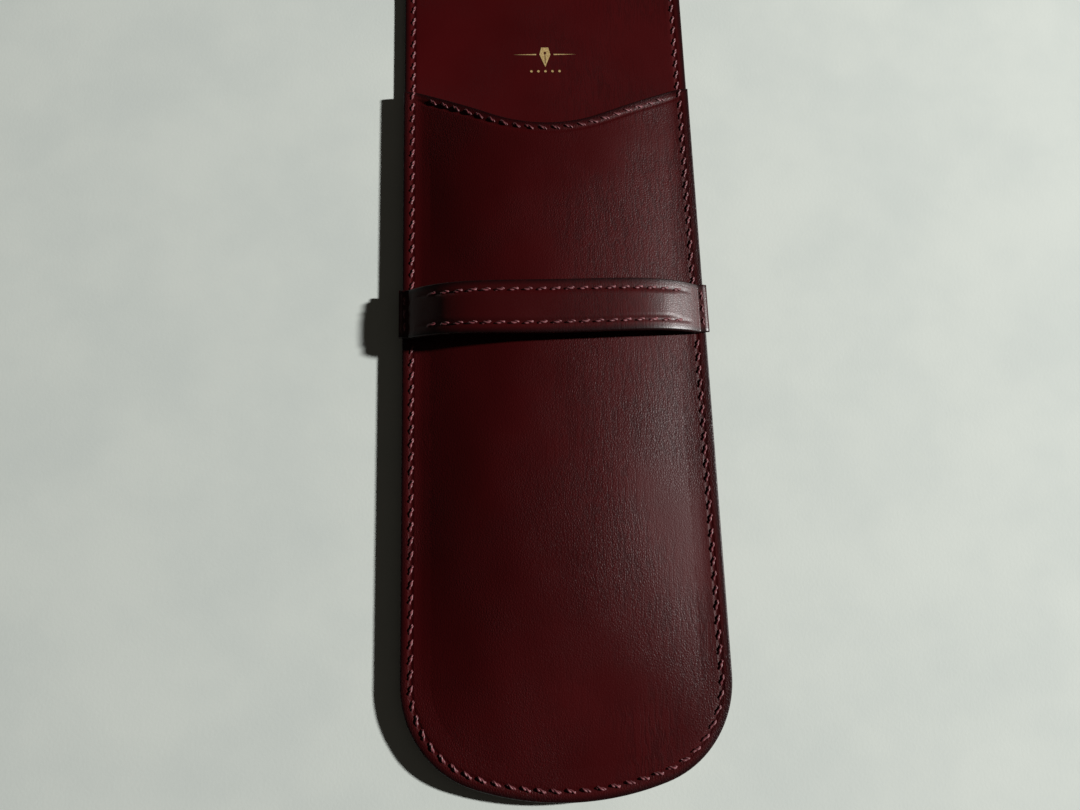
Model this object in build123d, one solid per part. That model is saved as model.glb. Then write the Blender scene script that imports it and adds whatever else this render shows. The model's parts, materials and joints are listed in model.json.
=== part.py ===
from build123d import *
import math
import os

# A slim leather pouch for two fountain pens, lying open on its back.
# +Y runs from the pocket's bottom to the flap's end, +Z points up out of the back panel.
# The origin is at the middle of the bounding box, on the resting face. Millimetres throughout.

# ---- the whole case --------------------------------------------------------------------------------
CASE_WIDTH = 64.0
POCKET_LENGTH = 148.5  # from the mouth's corners to the pocket's bottom
FLAP_LENGTH = 108.0  # from the mouth's corners to the flap's end
HALF = CASE_WIDTH / 2
MOUTH_Y = (POCKET_LENGTH - FLAP_LENGTH) / 2
BOTTOM_Y = MOUTH_Y - POCKET_LENGTH
FLAP_END_Y = MOUTH_Y + FLAP_LENGTH

# ---- layers ----------------------------------------------------------------------------------------
LEATHER = 0.8
LINING = 0.5
BOARD = 0.2
SKIN = LEATHER + LINING
GLUE_GAP = 0.02  # between the two skins along the seam
MARGIN_TOP = 2 * SKIN + GLUE_GAP
FOOT_LOW = MARGIN_TOP + GLUE_GAP

# ---- the pocket's rounded bottom: two corner arcs and a flatter arc between them --------------------
CORNER_R = 20.0
BOTTOM_R = 58.0
CORNER_X = HALF - CORNER_R
BOTTOM_CENTRE_Y = BOTTOM_Y + BOTTOM_R
CORNER_Y = BOTTOM_CENTRE_Y - math.sqrt((BOTTOM_R - CORNER_R) ** 2 - CORNER_X**2)
CORNER_TURN = math.degrees(math.atan2(BOTTOM_CENTRE_Y - CORNER_Y, CORNER_X))

# ---- the mouth: a shallow dip with straight flanks and small shoulders ------------------------------
MOUTH_DEPTH = 10.6
MOUTH_R = 30.0
SHOULDER_R = 10.0
FLANK_ANGLE = 25.0

# ---- the dome that the pens have pressed into the front panel ---------------------------------------
DOME_HEIGHT = 4.25
DOME_MARGIN = 3.3  # flat border along the seam
DOME_HALF = HALF - DOME_MARGIN
DOME_FALL = 50.0  # length over which the dome runs out towards the bottom
DOME_FALL_Y = BOTTOM_Y + DOME_MARGIN + DOME_FALL
DOME_FULLNESS = 2.4
DOME_SOFTNESS = 1.25

# ---- the fold: a spine that turns 90 degrees on the pouch, and the flap that turns 90 on the spine ----
FOLD_START = 14.23  # above the mouth's corners
STRIP = 6.04  # the spine between the two creases, as tall as the closed case is thick
CREASE_GAP = 0.05
FOLD_Y = [MOUTH_Y + FOLD_START, MOUTH_Y + FOLD_START + STRIP]

# ---- the flap --------------------------------------------------------------------------------------
TAPER_Y = MOUTH_Y + 31.0
TONGUE_HALF = 25.0  # half width where the tongue passes under the strap
TONGUE_Y = MOUTH_Y + 82.0
TAPER_R = 90.0
FLAP_CORNER_R = 17.0
FLAP_END_R = 44.0
CURL = 0.00486  # the tongue keeps the dome's curve: its edges rise by CURL times x squared
CURL_FROM_Y = MOUTH_Y + 24.0
CURL_FULL_Y = MOUTH_Y + 66.0

# ---- the strap -------------------------------------------------------------------------------------
STRAP_Y = MOUTH_Y - 52.6  # its middle, at the feet
STRAP_BOW = 1.0  # how far its middle hangs towards the bottom
STRAP_WIDTH = 11.3
STRAP_END_WIDTH = 10.5
STRAP_RISE = 6.5
STRAP_SHOULDER_POWER = 4.0
FOOT_X = 29.9  # where the arch ends and the foot lies flat
FOOT_END_X = HALF + 0.6
FOOT_THICKNESS = 0.7
FOOT_SEAM_INSET = 0.7
FOOT_STITCHES = 3
STRAP_LINING = 0.4
STRAP_LEATHER = 0.6
FILLER = 0.3
FILLER_WIDTH = 6.0
FILLER_HALF_LENGTH = 25.0
STRAP_ROW_INSET = 2.1

# ---- stitching -------------------------------------------------------------------------------------
SEAM_INSET = 2.1
MOUTH_SEAM_INSET = 1.4
STITCH_PITCH = 2.8
STITCH_LENGTH = 1.9
STITCH_SLANT = -20.0
STRAP_STITCH_SLANT = 12.0
THREAD_WIDTH = 0.55
THREAD_HEIGHT = 0.25
GROOVE_DEPTH = 0.35
GROOVE_HALF = 0.75
STITCH_LIFT = 0.05
STRAP_STITCH_LIFT = 0.06

# ---- the gilt ornament on the lining, above the mouth -----------------------------------------------
STAMP_Y = MOUTH_Y + 9.2
STAMP_THICKNESS = 0.04

SURFACE_STEP = 3.0  # spacing of the points that the curved skins are drawn through
SURFACE_TOLERANCE = 0.002
ABOVE = 40.0  # taller than anything in the case


# ---- heights ---------------------------------------------------------------------------------------
def ease(t):
    """Smooth step from 0 to 1."""
    t = min(1.0, max(0.0, t))
    return t * t * (3 - 2 * t)


def bulge(u):
    """1 in the middle, running out to 0 at u = 1 without a corner."""
    u = min(1.0, abs(u))
    return (1 - u**DOME_FULLNESS) ** DOME_SOFTNESS


def front_top(x, y):
    """Height of the front panel's upper face."""
    across = bulge(x / DOME_HALF)
    along = bulge(max(0.0, DOME_FALL_Y - y) / DOME_FALL)
    return MARGIN_TOP + DOME_HEIGHT * across * along


def flap_curl(x, y):
    """Height that the flap's curl lifts it by."""
    return CURL * x * x * ease((y - CURL_FROM_Y) / (CURL_FULL_Y - CURL_FROM_Y))


def strap_under(x):
    """Height of the strap's underside, from foot to foot."""
    u = min(1.0, abs(x) / FOOT_X)
    return FOOT_LOW + STRAP_RISE * (1 - u**STRAP_SHOULDER_POWER)


def strap_slope(x):
    """Slope of the strap's underside."""
    u = min(1.0, abs(x) / FOOT_X)
    steepness = STRAP_RISE * STRAP_SHOULDER_POWER * u ** (STRAP_SHOULDER_POWER - 1) / FOOT_X
    return -math.copysign(steepness, x)


# ---- plan outlines ---------------------------------------------------------------------------------
def polar(x, y, radius, angle):
    """A point on a circle, the angle in degrees."""
    turn = math.radians(angle)
    return (x + radius * math.cos(turn), y + radius * math.sin(turn))


def arc(x, y, radius, start, end):
    """An arc of the circle at x, y between two angles."""
    return ThreePointArc(
        polar(x, y, radius, start),
        polar(x, y, radius, (start + end) / 2),
        polar(x, y, radius, end),
    )


def pocket_edge(inset, top_y):
    """The pocket's side, bottom and side again, as one open wire, from the right side down."""
    side_x = HALF - inset
    edges = [
        Line((side_x, top_y), (side_x, CORNER_Y)),
        arc(CORNER_X, CORNER_Y, CORNER_R - inset, 0, -CORNER_TURN),
        arc(0, BOTTOM_CENTRE_Y, BOTTOM_R - inset, -CORNER_TURN, CORNER_TURN - 180),
        arc(-CORNER_X, CORNER_Y, CORNER_R - inset, CORNER_TURN - 180, -180),
        Line((-side_x, CORNER_Y), (-side_x, top_y)),
    ]
    return Wire([e for line in edges for e in line.edges()])


def pocket_plan(inset, top_y):
    """The pocket's plan up to top_y, as a face."""
    side_x = HALF - inset
    top = Line((-side_x, top_y), (side_x, top_y))
    return Face(Wire([*pocket_edge(inset, top_y).edges(), *top.edges()]))


def mouth_edge(inset):
    """The mouth's dip as an open wire from left to right, inset towards the bottom."""
    turn = math.radians(FLANK_ANGLE)
    dip_centre_y = MOUTH_Y - MOUTH_DEPTH + MOUTH_R
    dip_rise = MOUTH_R * (1 - math.cos(turn))
    shoulder_drop = SHOULDER_R * (1 - math.cos(turn))
    flank_run = (MOUTH_DEPTH - dip_rise - shoulder_drop) / math.tan(turn)
    shoulder_x = MOUTH_R * math.sin(turn) + flank_run + SHOULDER_R * math.sin(turn)
    shoulder_y = MOUTH_Y - SHOULDER_R
    dip_r = MOUTH_R + inset
    shoulder_r = SHOULDER_R - inset
    right_low = polar(0, dip_centre_y, dip_r, FLANK_ANGLE - 90)
    right_high = polar(shoulder_x, shoulder_y, shoulder_r, 90 + FLANK_ANGLE)
    left_low = (-right_low[0], right_low[1])
    left_high = (-right_high[0], right_high[1])
    top_y = MOUTH_Y - inset
    edges = [
        Line((-HALF, top_y), (-shoulder_x, top_y)),
        arc(-shoulder_x, shoulder_y, shoulder_r, 90, 90 - FLANK_ANGLE),
        Line(left_high, left_low),
        arc(0, dip_centre_y, dip_r, -90 - FLANK_ANGLE, FLANK_ANGLE - 90),
        Line(right_low, right_high),
        arc(shoulder_x, shoulder_y, shoulder_r, 90 + FLANK_ANGLE, 90),
        Line((shoulder_x, top_y), (HALF, top_y)),
    ]
    return Wire([e for line in edges for e in line.edges()])


def front_plan():
    """The front panel's plan: the pocket's outline closed by the mouth."""
    return Face(Wire([*pocket_edge(0, MOUTH_Y).edges(), *mouth_edge(0).edges()]))


def flap_edge(inset, start_y):
    """The flap's side, rounded end and side again, as one open wire, from the right side up."""
    taper = math.atan2(HALF - TONGUE_HALF, TONGUE_Y - TAPER_Y)
    out_x, out_y = math.cos(taper), math.sin(taper)
    along_x, along_y = -math.sin(taper), math.cos(taper)
    # the big arc that eases the straight side into the taper
    ease_length = TAPER_R * math.tan(taper / 2)
    ease_x, ease_y = HALF - TAPER_R, TAPER_Y - ease_length
    # the corner arc's centre: FLAP_CORNER_R inside the tapered side, and tangent inside the end arc
    end_centre_y = FLAP_END_Y - FLAP_END_R
    base_x = HALF - FLAP_CORNER_R * out_x
    base_y = TAPER_Y - FLAP_CORNER_R * out_y - end_centre_y
    half_b = base_x * along_x + base_y * along_y
    rest = base_x**2 + base_y**2 - (FLAP_END_R - FLAP_CORNER_R) ** 2
    travel = -half_b + math.sqrt(half_b**2 - rest)
    corner_x = base_x + travel * along_x
    corner_y = base_y + travel * along_y + end_centre_y
    side_turn = math.degrees(taper)
    end_turn = math.degrees(math.atan2(corner_y - end_centre_y, corner_x))
    side_x = HALF - inset
    eased = polar(ease_x, ease_y, TAPER_R - inset, side_turn)
    tapered = polar(corner_x, corner_y, FLAP_CORNER_R - inset, side_turn)
    edges = [
        Line((side_x, start_y), (side_x, ease_y)),
        arc(ease_x, ease_y, TAPER_R - inset, 0, side_turn),
        Line(eased, tapered),
        arc(corner_x, corner_y, FLAP_CORNER_R - inset, side_turn, end_turn),
        arc(0, end_centre_y, FLAP_END_R - inset, end_turn, 180 - end_turn),
        arc(-corner_x, corner_y, FLAP_CORNER_R - inset, 180 - end_turn, 180 - side_turn),
        Line((-tapered[0], tapered[1]), (-eased[0], eased[1])),
        arc(-ease_x, ease_y, TAPER_R - inset, 180 - side_turn, 180),
        Line((-side_x, ease_y), (-side_x, start_y)),
    ]
    return Wire([e for line in edges for e in line.edges()])


def flap_plan(inset, start_y):
    """The flap's plan from start_y to its end, as a face."""
    side_x = HALF - inset
    start = Line((-side_x, start_y), (side_x, start_y))
    return Face(Wire([*flap_edge(inset, start_y).edges(), *start.edges()]))


def strap_middle_y(x):
    """The strap's centre line in plan: a shallow bow towards the pocket's bottom."""
    return STRAP_Y + STRAP_BOW * ((x / FOOT_X) ** 2 - 1)


def strap_edge(side, trim=0.0):
    """The strap's upper (side 1) or lower (side -1) edge in plan, as points from left to right."""
    points = []
    for share in (-1.0, -0.75, -0.5, -0.25, 0.0, 0.25, 0.5, 0.75, 1.0):
        x = share * FOOT_END_X
        width = STRAP_WIDTH + (STRAP_END_WIDTH - STRAP_WIDTH) * share**2
        points.append((x, strap_middle_y(x) + side * (width / 2 - trim)))
    return points


# ---- solids ----------------------------------------------------------------------------------------
def slab(plan, low, high):
    """A flat solid of that plan between two heights."""
    return extrude(Pos(0, 0, low) * plan, amount=high - low, dir=(0, 0, 1))


def curved_sheet(height, low_y, high_y):
    """The surface z = height(x, y), a little wider than the case, between two lines across it."""
    x_reach = HALF + 1.0
    x_count = math.ceil(x_reach / SURFACE_STEP) * 2
    y_count = math.ceil((high_y - low_y) / SURFACE_STEP)
    rows = []
    for i in range(x_count + 1):
        x = x_reach * (2 * i / x_count - 1)
        ys = [low_y + (high_y - low_y) * j / y_count for j in range(y_count + 1)]
        rows.append([Vector(x, y, height(x, y)) for y in ys])
    return Face.make_surface_from_array_of_points(rows, tol=SURFACE_TOLERANCE)


def skin(sheet, plan, low, high):
    """A layer of that plan between two copies of a curved sheet, lifted by low and by high."""
    layer = extrude(Pos(0, 0, low) * sheet, amount=high - low, dir=(0, 0, 1))
    return layer & slab(plan, -ABOVE, ABOVE)


def seam_groove(outer_edge_plan, inner_edge_plan):
    """The plan of the narrow channel that a seam's stitches sink into."""
    return outer_edge_plan - inner_edge_plan


def stitch(x, y, turn, height, lift):
    """One stitch lying on the surface height(x, y), its length turned by that angle in plan."""
    c, s = math.cos(math.radians(turn)), math.sin(math.radians(turn))
    reach = STITCH_LENGTH / 2
    rise = (height(x + c * reach, y + s * reach) - height(x - c * reach, y - s * reach)) / STITCH_LENGTH
    tilt = (height(x - s * reach, y + c * reach) - height(x + s * reach, y - c * reach)) / STITCH_LENGTH
    along = Vector(c, s, rise)
    across = Vector(-s, c, tilt)
    seat = Plane(origin=(x, y, height(x, y) + lift), x_dir=along, z_dir=along.cross(across))
    return seat * Box(STITCH_LENGTH, THREAD_WIDTH, THREAD_HEIGHT, align=(Align.CENTER, Align.CENTER, Align.MIN))


def stitch_row(path, height, lift=STITCH_LIFT, slant=STITCH_SLANT, keep=lambda x, y: True):
    """Evenly spaced slanted stitches along a wire, where keep(x, y) says so."""
    count = round(path.length / STITCH_PITCH)
    made = []
    for i in range(count):
        share = (i + 0.5) / count
        at, tangent = path @ share, path % share
        turn = math.degrees(math.atan2(tangent.Y, tangent.X)) + slant
        if keep(at.X, at.Y):
            made.append(stitch(at.X, at.Y, turn, height, lift))
    return made


def flat(level):
    """A height function for a level face."""
    return lambda x, y: level


PARTS = {}


def keep_part(node, shape):
    """Files a solid, or a list of separate solids, under its node's name."""
    solids = shape if isinstance(shape, list) else [shape]
    PARTS[node] = Compound(label=node, children=[s for item in solids for s in item.solids()])


# ---- the back panel, which runs on past the mouth to the fold ----------------------------------------
def back():
    top_y = FOLD_Y[0] - CREASE_GAP
    plan = pocket_plan(0, top_y)
    channel = seam_groove(
        pocket_plan(SEAM_INSET - GROOVE_HALF, top_y), pocket_plan(SEAM_INSET + GROOVE_HALF, top_y)
    )
    keep_part("back_panel", slab(plan, 0, LEATHER) - slab(channel, 0, GROOVE_DEPTH))
    board_plan = pocket_plan(2 * DOME_MARGIN, MOUTH_Y - MOUTH_DEPTH)
    board = slab(board_plan, LEATHER, LEATHER + BOARD)
    keep_part("back_stiffener", board)
    keep_part("back_lining", slab(plan, LEATHER, SKIN) - board)
    seam = pocket_edge(SEAM_INSET, top_y)
    keep_part("seam_thread_back", stitch_row(seam, flat(0)))


# ---- the front panel and its lining, domed over the pocket -------------------------------------------
def front():
    plan = front_plan()
    sheet = curved_sheet(front_top, BOTTOM_Y - 1, MOUTH_Y + 1)
    keep_part("front_panel", skin(sheet, plan, -LEATHER, 0))
    keep_part("front_lining", skin(sheet, plan, -SKIN, -LEATHER))
    mouth_row = stitch_row(
        mouth_edge(MOUTH_SEAM_INSET), front_top, keep=lambda x, y: abs(x) < HALF - 2 * SEAM_INSET
    )
    keep_part("mouth_thread", mouth_row)
    seam = pocket_edge(SEAM_INSET, FOLD_Y[0] - CREASE_GAP)
    foot_reach = STRAP_END_WIDTH / 2 + STITCH_LENGTH / 2

    def on_panel(x, y):
        return y < MOUTH_Y - STITCH_LENGTH / 2 and abs(y - STRAP_Y) > foot_reach

    def on_lining(x, y):
        return y > MOUTH_Y + STITCH_LENGTH / 2

    front_row = stitch_row(seam, front_top, keep=on_panel)
    lining_row = stitch_row(seam, flat(SKIN), keep=on_lining)
    keep_part("seam_thread_front", front_row + lining_row)


# ---- the strap -------------------------------------------------------------------------------------
def strap_band(low, high):
    """The strap's arch between two offsets above its underside, drawn wide enough to be trimmed."""
    shares = (1.0, 0.985, 0.96, 0.92, 0.86, 0.78, 0.65, 0.45, 0.2)
    xs = [-FOOT_X * s for s in shares] + [0.0] + [FOOT_X * s for s in reversed(shares)]

    def raised(x, offset):
        slope = strap_slope(x)
        size = math.hypot(1, slope)
        return (x - offset * slope / size, strap_under(x) + offset / size)

    under = Spline([raised(x, low) for x in xs])
    over = Spline([raised(x, high) for x in xs])
    ends = [Line(under @ 0, over @ 0), Line(under @ 1, over @ 1)]
    side_view = Face(Wire([e for line in (under, over, *ends) for e in line.edges()]))
    upright = Plane(origin=(0, STRAP_Y + STRAP_WIDTH, 0), x_dir=(1, 0, 0), z_dir=(0, -1, 0))
    return extrude(upright * side_view, amount=2 * STRAP_WIDTH, dir=(0, -1, 0))


def foot(side):
    """The flat end of the strap that is sewn down, untrimmed."""
    length = FOOT_END_X - FOOT_X
    seat = Pos(side * (FOOT_X + length / 2), STRAP_Y, FOOT_LOW)
    return seat * Box(
        length, 2 * STRAP_WIDTH, FOOT_THICKNESS, align=(Align.CENTER, Align.CENTER, Align.MIN)
    )


def strap_plan(trim):
    """The strap's plan, trimmed by that much along both long edges."""
    upper = Spline(strap_edge(1, trim))
    lower = Spline(strap_edge(-1, trim))
    ends = [Line(upper @ 0, lower @ 0), Line(upper @ 1, lower @ 1)]
    return Face(Wire([e for line in (upper, lower, *ends) for e in line.edges()]))


def strap():
    whole = slab(strap_plan(0), 0, ABOVE)
    middle = slab(strap_plan((STRAP_WIDTH - FILLER_WIDTH) / 2), 0, ABOVE)
    middle = middle & Box(2 * FILLER_HALF_LENGTH, CASE_WIDTH * 4, 2 * ABOVE)
    leather_low = STRAP_LINING
    leather_high = STRAP_LINING + STRAP_LEATHER
    filler = strap_band(leather_low, leather_low + FILLER) & middle
    cover = (strap_band(leather_low, leather_high) + foot(-1) + foot(1)) & whole
    raised = strap_band(leather_low + FILLER, leather_high + FILLER) & middle
    leather = (cover + raised) - filler
    keep_part("strap_filler", filler)
    keep_part("strap_leather", leather)
    keep_part("strap_lining", (strap_band(0, STRAP_LINING) & whole) - leather)

    def strap_face(x, y):
        return strap_under(x) + leather_high * math.hypot(1, strap_slope(x))

    def on_arch(x, y):
        return abs(x) < FOOT_X - STITCH_PITCH

    for node, side in (("strap_thread_upper", 1), ("strap_thread_lower", -1)):
        path = Wire(Spline(strap_edge(side, STRAP_ROW_INSET)).edges())
        row = stitch_row(path, strap_face, lift=STRAP_STITCH_LIFT, slant=STRAP_STITCH_SLANT, keep=on_arch)
        keep_part(node, row)
    foot_stitches = []
    for side in (-1, 1):
        for i in range(FOOT_STITCHES):
            y = STRAP_Y + (i - (FOOT_STITCHES - 1) / 2) * STITCH_PITCH
            x = side * (HALF - FOOT_SEAM_INSET)
            foot_stitches.append(stitch(x, y, 90, flat(FOOT_LOW + FOOT_THICKNESS), STITCH_LIFT))
    keep_part("strap_foot_thread", foot_stitches)


# ---- the gilt ornament: a small nib between two tapered rules, over a row of dots --------------------
def stamp():
    nib = Polyline([(0, -2.6), (1.25, 0.6), (0.8, 2.4), (-0.8, 2.4), (-1.25, 0.6), (0, -2.6)])
    slit = Pos(0, -0.4) * Rectangle(0.18, 2.6)
    breather = Pos(0, 1.0) * Circle(0.32)
    nib_face = Face(Wire(nib.edges())) - slit - breather
    faces = [nib_face]
    for side in (-1, 1):
        rule = Polyline([(side * 2.0, 0.75), (side * 7.2, 0.6), (side * 2.0, 0.45), (side * 2.0, 0.75)])
        faces.append(Face(Wire(rule.edges())))
    faces += [Pos(i * 1.6, -3.7) * Circle(0.28) for i in range(-2, 3)]
    keep_part("gilt_stamp", [slab(Pos(0, STAMP_Y) * f, SKIN, SKIN + STAMP_THICKNESS) for f in faces])


# ---- the spine between the two creases ---------------------------------------------------------------
def fold_strip():
    low_y, high_y = FOLD_Y[0] + CREASE_GAP, FOLD_Y[1] - CREASE_GAP
    middle_y = (low_y + high_y) / 2
    plan = Pos(0, middle_y) * Rectangle(CASE_WIDTH, high_y - low_y)
    seam_x = HALF - SEAM_INSET
    channels = [Pos(side * seam_x, middle_y) * Rectangle(2 * GROOVE_HALF, STRIP) for side in (-1, 1)]
    leather = slab(plan, 0, LEATHER)
    for channel in channels:
        leather = leather - slab(channel, 0, GROOVE_DEPTH)
    keep_part("fold_leather", leather)
    keep_part("fold_lining", slab(plan, LEATHER, SKIN))
    turn = 90 + STITCH_SLANT
    threads = []
    for side in (-1, 1):
        for y in (middle_y - STITCH_PITCH / 2, middle_y + STITCH_PITCH / 2):
            threads.append(stitch(side * seam_x, y, turn, flat(SKIN), STITCH_LIFT))
            threads.append(stitch(side * seam_x, y, turn, flat(0), STITCH_LIFT))
    keep_part("fold_thread", threads)


# ---- the flap beyond the fold ------------------------------------------------------------------------
def flap():
    start_y = FOLD_Y[-1] + CREASE_GAP
    plan = flap_plan(0, start_y)
    channel = seam_groove(
        flap_plan(SEAM_INSET - GROOVE_HALF, start_y), flap_plan(SEAM_INSET + GROOVE_HALF, start_y)
    )
    sheet = curved_sheet(flap_curl, start_y - 1, FLAP_END_Y + 1)
    board = skin(sheet, flap_plan(2 * DOME_MARGIN, start_y + DOME_MARGIN), LEATHER, LEATHER + BOARD)
    keep_part("flap_leather", skin(sheet, plan, 0, LEATHER) - skin(sheet, channel, 0, GROOVE_DEPTH))
    keep_part("flap_stiffener", board)
    keep_part("flap_lining", skin(sheet, plan, LEATHER, SKIN) - board)
    seam = flap_edge(SEAM_INSET, start_y)

    def lining_face(x, y):
        return flap_curl(x, y) + SKIN

    keep_part("flap_thread_lining_side", stitch_row(seam, lining_face))
    keep_part("flap_thread_leather_side", stitch_row(seam, flap_curl))


back()
front()
strap()
stamp()
fold_strip()
flap()

os.makedirs("parts", exist_ok=True)
for node, shape in PARTS.items():
    export_step(shape, f"parts/{node}.step")
    box = shape.bounding_box()
    print(f"{node:26s} {len(shape.solids()):4d} solids  z {box.min.Z:6.2f} to {box.max.Z:6.2f}")
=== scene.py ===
# %% [markdown]
# # A fountain pen case in burgundy calf
# The real case is cut from two kinds of leather, glued in layers, sewn by hand round its edge and
# burnished. The CAD frame has every piece as a plain solid that moves and carries weight. Here each
# leather piece is rebuilt as a thin slab with a rounded, dyed edge and a pressed stitching groove, and
# each stitch as a twisted thread. The frame says where everything lies, so nothing is fitted by eye.

import json
import math
import random

import bpy
import numpy as np
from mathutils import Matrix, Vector
from mathutils.geometry import delaunay_2d_cdt

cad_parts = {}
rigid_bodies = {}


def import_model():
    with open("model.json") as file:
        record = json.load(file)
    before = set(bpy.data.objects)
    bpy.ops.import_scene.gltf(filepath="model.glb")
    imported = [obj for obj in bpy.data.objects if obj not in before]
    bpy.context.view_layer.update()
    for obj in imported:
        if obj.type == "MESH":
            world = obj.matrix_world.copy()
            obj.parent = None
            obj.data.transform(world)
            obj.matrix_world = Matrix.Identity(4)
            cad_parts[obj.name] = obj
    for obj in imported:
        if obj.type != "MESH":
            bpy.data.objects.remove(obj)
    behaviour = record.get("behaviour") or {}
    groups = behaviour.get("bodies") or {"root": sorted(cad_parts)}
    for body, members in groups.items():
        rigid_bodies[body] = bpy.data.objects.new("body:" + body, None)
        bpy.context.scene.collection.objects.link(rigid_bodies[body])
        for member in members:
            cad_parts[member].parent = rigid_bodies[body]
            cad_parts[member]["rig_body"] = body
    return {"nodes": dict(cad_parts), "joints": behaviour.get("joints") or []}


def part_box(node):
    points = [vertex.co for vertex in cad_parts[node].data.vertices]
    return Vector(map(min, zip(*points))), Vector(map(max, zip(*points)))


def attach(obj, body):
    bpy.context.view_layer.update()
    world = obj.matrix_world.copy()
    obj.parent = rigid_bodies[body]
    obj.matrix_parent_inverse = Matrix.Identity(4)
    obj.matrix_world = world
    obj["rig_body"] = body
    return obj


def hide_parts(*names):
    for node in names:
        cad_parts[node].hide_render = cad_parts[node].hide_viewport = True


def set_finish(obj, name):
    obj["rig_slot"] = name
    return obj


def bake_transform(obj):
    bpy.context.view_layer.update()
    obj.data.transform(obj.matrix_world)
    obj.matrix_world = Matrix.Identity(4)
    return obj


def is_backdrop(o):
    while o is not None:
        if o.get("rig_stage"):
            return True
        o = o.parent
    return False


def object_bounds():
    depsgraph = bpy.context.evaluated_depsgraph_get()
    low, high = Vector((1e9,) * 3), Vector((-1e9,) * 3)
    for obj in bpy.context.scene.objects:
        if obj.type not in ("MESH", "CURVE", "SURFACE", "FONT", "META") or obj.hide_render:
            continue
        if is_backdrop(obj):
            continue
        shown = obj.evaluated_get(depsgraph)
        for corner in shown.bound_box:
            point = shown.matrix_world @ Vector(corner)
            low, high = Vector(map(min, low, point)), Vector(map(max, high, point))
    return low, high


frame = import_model()
cad_low, cad_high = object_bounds()
random.seed(7)
MM = 0.001


def box_mm(node):
    """Lowest and highest corner of a CAD node, in millimetres."""
    low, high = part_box(node)
    return low / MM, high / MM


front_low, front_high = box_mm("front_panel")
back_high = box_mm("back_panel")[1]
lining_high = box_mm("back_lining")[1]
flap_high = box_mm("flap_leather")[1]
HALF = front_high.x
BOTTOM_Y, MOUTH_Y, FLAP_END_Y = front_low.y, front_high.y, flap_high.y
LEATHER = back_high.z
SKIN = lining_high.z
CREASES = [joint["pos_m"][1] / MM for joint in frame["joints"]]
print("case half width", round(HALF, 2), "mouth at", round(MOUTH_Y, 2), "creases", np.round(CREASES, 2))

# %% [markdown]
# ## The outlines
# Every edge of the case is a straight line or an arc, so an outline moved inwards keeps its arcs'
# centres and only their radii change. That gives rings of matching points at any distance from the
# edge, which is how the rounded edges, the stitching groove and the seams are all drawn.

# %% Lines, arcs and the pocket's outline
CORNER_R, BOTTOM_R = 20.0, 58.0
CORNER_X = HALF - CORNER_R
BOTTOM_CENTRE_Y = BOTTOM_Y + BOTTOM_R
CORNER_Y = BOTTOM_CENTRE_Y - math.sqrt((BOTTOM_R - CORNER_R) ** 2 - CORNER_X**2)
CORNER_TURN = math.degrees(math.atan2(BOTTOM_CENTRE_Y - CORNER_Y, CORNER_X))
POINT_STEP = 1.2  # spacing of outline points


def polar(x, y, radius, angle):
    turn = math.radians(angle)
    return (x + radius * math.cos(turn), y + radius * math.sin(turn))


def line(start, end, length):
    """Points from start up to but not including end; length sets how many."""
    count = max(1, round(length / POINT_STEP))
    steps = [i / count for i in range(count)]
    return [(start[0] + (end[0] - start[0]) * t, start[1] + (end[1] - start[1]) * t) for t in steps]


def arc(x, y, radius, start, end, full_radius):
    """Points of an arc without its last; the arc's radius before insetting sets how many."""
    count = max(3, round(abs(math.radians(end - start)) * full_radius / POINT_STEP))
    return [polar(x, y, radius, start + (end - start) * i / count) for i in range(count)]


def pocket_path(inset, top_y):
    """Right side down, round the bottom, left side up."""
    side = HALF - inset
    low_turn = CORNER_TURN - 180
    corner_r = CORNER_R - inset
    return [
        *line((side, top_y), (side, CORNER_Y), MOUTH_Y - CORNER_Y),
        *arc(CORNER_X, CORNER_Y, corner_r, 0, -CORNER_TURN, CORNER_R),
        *arc(0, BOTTOM_CENTRE_Y, BOTTOM_R - inset, -CORNER_TURN, low_turn, BOTTOM_R),
        *arc(-CORNER_X, CORNER_Y, corner_r, low_turn, -180, CORNER_R),
        *line((-side, CORNER_Y), (-side, top_y), MOUTH_Y - CORNER_Y),
        (-side, top_y),
    ]


# %% The mouth's dip, from the left corner to the right
MOUTH_DEPTH, MOUTH_R, SHOULDER_R, FLANK_ANGLE = 10.6, 30.0, 10.0, 25.0


MOUTH_POINTS = 44  # along each half


def mouth_path(inset):
    """The dip is worked out from the middle to the right, and stops where it meets the side."""
    turn = math.radians(FLANK_ANGLE)
    dip_y = MOUTH_Y - MOUTH_DEPTH + MOUTH_R
    flank_rise = MOUTH_DEPTH - (MOUTH_R + SHOULDER_R) * (1 - math.cos(turn))
    shoulder_x = (MOUTH_R + SHOULDER_R) * math.sin(turn) + flank_rise / math.tan(turn)
    dip = [polar(0, dip_y, MOUTH_R + inset, -90 + a) for a in np.linspace(0, FLANK_ANGLE, 60)]
    rounded = np.linspace(90 + FLANK_ANGLE, 90, 60)
    shoulder = [polar(shoulder_x, MOUTH_Y - SHOULDER_R, SHOULDER_R - inset, a) for a in rounded]
    drawn = np.array(dip + shoulder + [(HALF + 1, MOUTH_Y - inset)])
    side = HALF - inset
    xs = np.append(drawn[drawn[:, 0] < side, 0], side)
    ys = np.interp(xs, drawn[:, 0], drawn[:, 1])
    run = np.append(0, np.cumsum(np.hypot(np.diff(xs), np.diff(ys))))
    at = np.linspace(0, run[-1], MOUTH_POINTS + 1)
    right = list(zip(np.interp(at, run, xs).tolist(), np.interp(at, run, ys).tolist()))
    return [(-x, y) for x, y in reversed(right[1:])] + right


def front_path(inset):
    """The front panel's whole outline, closed."""
    mouth = mouth_path(inset)
    return pocket_path(inset, mouth[0][1])[:-1] + mouth[:-1]


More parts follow.
